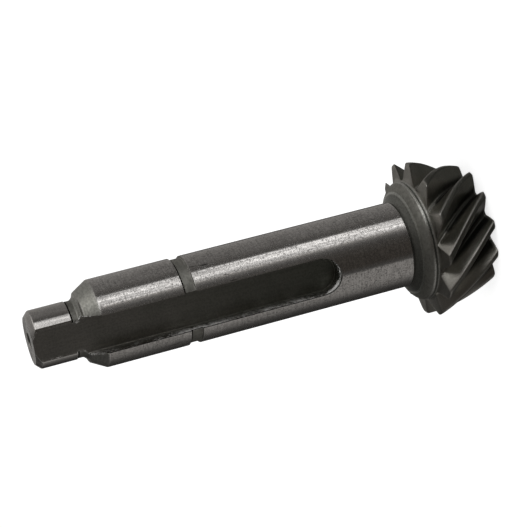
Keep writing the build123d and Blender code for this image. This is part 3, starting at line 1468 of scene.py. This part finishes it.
@dataclass
class Studio:
    """Camera, pale floor, soft lamps and the tent that the bright steel mirrors.

    Zones of the tent are four edges, two where it sets in and two where it ends: over the
    turn round the view's level axis, or over the distance across, -1 at left to 1 at right.
    """

    camera_at: Point3 = (0.13236, -0.38880, 0.16714)
    right: Point3 = (-0.160336, -0.318657, -0.934211)
    up: Point3 = (0.939440, 0.241175, -0.243497)
    back: Point3 = (0.302898, -0.916677, 0.260689)
    lens: float = 116.29
    sensor: float = 36.0
    clip: Point2 = (0.01, 50.0)
    aim: Point3 = (0.0, 0.0, 0.06)
    sky: float = 0.55
    floor_size: float = 12.0
    floor_z: float = -1e-4
    paper: float = 0.48
    paper_glow: float = 0.7
    tent_radius: float = 1.6
    tent_segments: tuple[int, int] = (48, 24)
    right_tone: Colour = (0.052, 0.052, 0.047)
    under_tone: Colour = (0.260, 0.254, 0.244)
    back_tone: Colour = (0.600, 0.588, 0.570)
    band_zone: Edges = (0.53, 0.58, 0.75, 0.80)
    band_slant: float = 0.097
    band_middle: float = 0.15
    above_zone: Edges = (0.71, 0.73, 0.93, 0.95)
    low_card_zone: Edges = (0.15, 0.19, 0.37, 0.41)
    front_zone: Edges = (0.010, 0.030, 0.960, 0.980)
    mottle_zone: Edges = (0.605, 0.625, 0.70, 0.709)
    mottle_range: Point2 = (0.40, 0.60)
    mottle_scale: float = 20.0
    mottle_depth: float = 1.2
    low_turn: Point2 = (0.03, 0.05)
    under_turn: Point2 = (0.055, 0.075)
    behind_turn: Point2 = (0.92, 0.94)
    under_across: Edges = (0.12, 0.22, 0.43, 0.48)
    back_across: Edges = (-0.30, -0.15, 0.50, 0.65)
    side_left: Point2 = (0.50, 0.65)
    low_side_left: Point2 = (0.60, 0.68)
    low_card_left: Point2 = (-0.05, 0.25)
    behind_left: Point2 = (0.12, 0.25)
    far_left: Point2 = (0.78, 0.90)
    far_right: Point2 = (0.78, 0.88)
    band_right: Point2 = (0.45, 0.60)
    above_right: Point2 = (0.18, 0.36)

    def place_camera(self) -> None:
        """Sets the camera at the photograph's place and angle."""
        data = bpy.data.cameras.new("camera")
        data.lens = self.lens
        data.sensor_width = self.sensor
        data.clip_start, data.clip_end = self.clip
        camera = make_object("camera", data)
        turn = Matrix((self.right, self.up, self.back)).transposed()
        camera.matrix_world = Matrix.Translation(self.camera_at) @ turn.to_4x4()
        bpy.context.scene.camera = camera

    @staticmethod
    def _seen_white(tree: Tree) -> Wire:
        """1 for the rays that show the background.

        Args:
            tree: the tree to add to.

        Returns:
            1 for camera, mirror and glass rays, 0 for others.
        """
        kinds = ("Camera", "Glossy", "Transmission")
        seen = [tree.add("ShaderNodeLightPath", out=f"Is {kind} Ray") for kind in kinds]
        return (seen[0] + seen[1] + seen[2]).clamped()

    def lay_floor(self) -> None:
        """Lays the pale floor that keeps the shadow."""
        half = self.floor_size / 2
        mesh = bpy.data.meshes.new("floor")
        signs = ((-1, -1), (1, -1), (1, 1), (-1, 1))
        corners = [(x * half, y * half, self.floor_z) for x, y in signs]
        mesh.from_pydata(corners, [], [(0, 1, 2, 3)])
        floor = make_object("floor", mesh)
        material, tree = new_material("pale_floor")
        paper = tree.add("ShaderNodeBsdfDiffuse", {"Color": grey(self.paper)})
        shown = self._seen_white(tree) * self.paper_glow
        glow = tree.add("ShaderNodeEmission", {"Color": grey(1.0), "Strength": shown})
        both = tree.add("ShaderNodeAddShader", {0: paper, 1: glow})
        tree.add("ShaderNodeOutputMaterial", {"Surface": both})
        mesh.materials.append(material)
        floor.visible_glossy = False

    @staticmethod
    def _ring(tree: Tree, cards: Sequence[Card], turn: Wire) -> Wire:
        """The glow of a ring of cards at a turn round the object."""
        stops = [stop for card in cards for stop in card.stops()]
        return tree.add("ShaderNodeValToRGB", {"Fac": turn}, "Color", stops=stops)

    def _tent_glow(self, tree: Tree, place: Wire) -> Wire:
        """Sets the cards of the tent side by side.

        Args:
            tree: the tent's tree.
            place: a place on the tent, 1 from its middle.

        Returns:
            The colour that glows there.
        """
        height, depth, across = (
            tree.add("ShaderNodeVectorMath", {0: place, 1: axis}, "Value", operation="DOT_PRODUCT")
            for axis in (self.up, self.back, self.right)
        )
        angle = tree.add("ShaderNodeMath", {0: height, 1: depth}, operation="ARCTAN2")
        turn = angle / (2 * pi) + 0.5
        left = across * -1.0
        in_band = tree.window(turn, self.band_zone)
        low = 1.0 - tree.step(turn, *self.low_turn)

        slanted = turn - (across - self.band_middle) * in_band * self.band_slant
        mottle = tree.step(tree.noise(place, self.mottle_scale, 1.0), *self.mottle_range) - 0.5
        mottle = 1.0 + tree.window(slanted, self.mottle_zone) * mottle * self.mottle_depth
        mottle = tree.add("ShaderNodeCombineColor", {0: mottle, 1: mottle, 2: mottle})
        front = tree.tint(1.0, self._ring(tree, FRONT_CARDS, slanted), mottle)

        share = tree.step(left, *self.side_left) * (1.0 - low)
        share = share + tree.step(left, *self.low_side_left) * low
        share = share + tree.window(turn, self.low_card_zone) * tree.step(left, *self.low_card_left)
        share = share + tree.step(turn, *self.behind_turn) * tree.step(left, *self.behind_left)
        cards = tree.blend(share.clamped(), front, self._ring(tree, LEFT_CARDS, turn))
        far_left = self._ring(tree, FAR_LEFT_CARDS, turn)
        cards = tree.blend(tree.step(left, *self.far_left), cards, far_left)

        share = tree.step(across, *self.far_right) + in_band * tree.step(across, *self.band_right)
        share = share + tree.window(turn, self.above_zone) * tree.step(across, *self.above_right)
        cards = tree.blend(share.clamped(), cards, self.right_tone)
        under = (1.0 - tree.step(turn, *self.under_turn)) * tree.window(left, self.under_across)
        cards = tree.blend(under, cards, self.under_tone)
        behind = (1.0 - tree.window(turn, self.front_zone)) * tree.window(across, self.back_across)
        return tree.blend(behind, cards, self.back_tone)

    def hang_tent(self) -> None:
        """Hangs a tent of cards round the table that only mirror rays see."""
        bm = bmesh.new()
        columns, rows = self.tent_segments
        bmesh.ops.create_uvsphere(bm, u_segments=columns, v_segments=rows, radius=self.tent_radius)
        bmesh.ops.reverse_faces(bm, faces=bm.faces)
        mesh = bpy.data.meshes.new("reflection_tent")
        bm.to_mesh(mesh)
        bm.free()
        tent = make_object("reflection_tent", mesh)
        material, tree = new_material("tent_cards")
        place = tree.add("ShaderNodeTexCoord", out="Object") / self.tent_radius
        sockets = {"Color": self._tent_glow(tree, place), "Strength": 1.0}
        glow = tree.add("ShaderNodeEmission", sockets)
        tree.add("ShaderNodeOutputMaterial", {"Surface": glow})
        mesh.materials.append(material)
        for kind in ("camera", "diffuse", "shadow", "transmission", "volume_scatter"):
            setattr(tent, f"visible_{kind}", False)

    def light_world(self) -> None:
        """Gives the world a white background and an even soft light."""
        world = bpy.data.worlds.new("studio")
        bpy.context.scene.world = world
        world.use_nodes = True
        tree = Tree(world.node_tree)
        tone = tree.blend(self._seen_white(tree), grey(self.sky), grey(1.0))
        background = tree.add("ShaderNodeBackground", {"Color": tone, "Strength": 1.0})
        tree.add("ShaderNodeOutputWorld", {"Surface": background})

    def hang_lamps(self) -> None:
        """Hangs the large soft lamps round the table."""
        for lamp in LAMPS:
            data = bpy.data.lights.new(lamp.name, "AREA")
            data.shape = "DISK"
            data.size = lamp.size
            data.energy = lamp.power
            hung = make_object(lamp.name, data)
            turn = (Vector(self.aim) - Vector(lamp.place)).to_track_quat("-Z", "Y")
            hung.matrix_world = Matrix.Translation(lamp.place) @ turn.to_matrix().to_4x4()
            hung.visible_glossy = False

    def set_view(self) -> None:
        """Shows colours as they are."""
        bpy.context.scene.view_settings.view_transform = "Standard"


# ---------------------------------------------------------------- the scene


def hand_over(piece: bpy.types.Object) -> None:
    """Hangs the piece on the root body and hides the CAD node that it replaces.

    Args:
        piece: the finished piece.
    """
    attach(piece, "root")
    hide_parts(NODE)
    log.info("%s: %d faces, handed over", piece.name, len(piece.data.polygons))


def main() -> None:
    """Builds the pinion's pieces and the studio round them."""
    logging.basicConfig(level=logging.INFO, format="%(name)s: %(message)s")
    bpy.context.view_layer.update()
    hand_over(SpiralTeeth().build())
    shank = SlottedShank()
    body = shank.build()
    shank.dress(body)
    hand_over(body)
    studio = Studio()
    studio.place_camera()
    studio.lay_floor()
    studio.hang_tent()
    studio.light_world()
    studio.hang_lamps()
    studio.set_view()


if __name__ == "__main__":
    main()
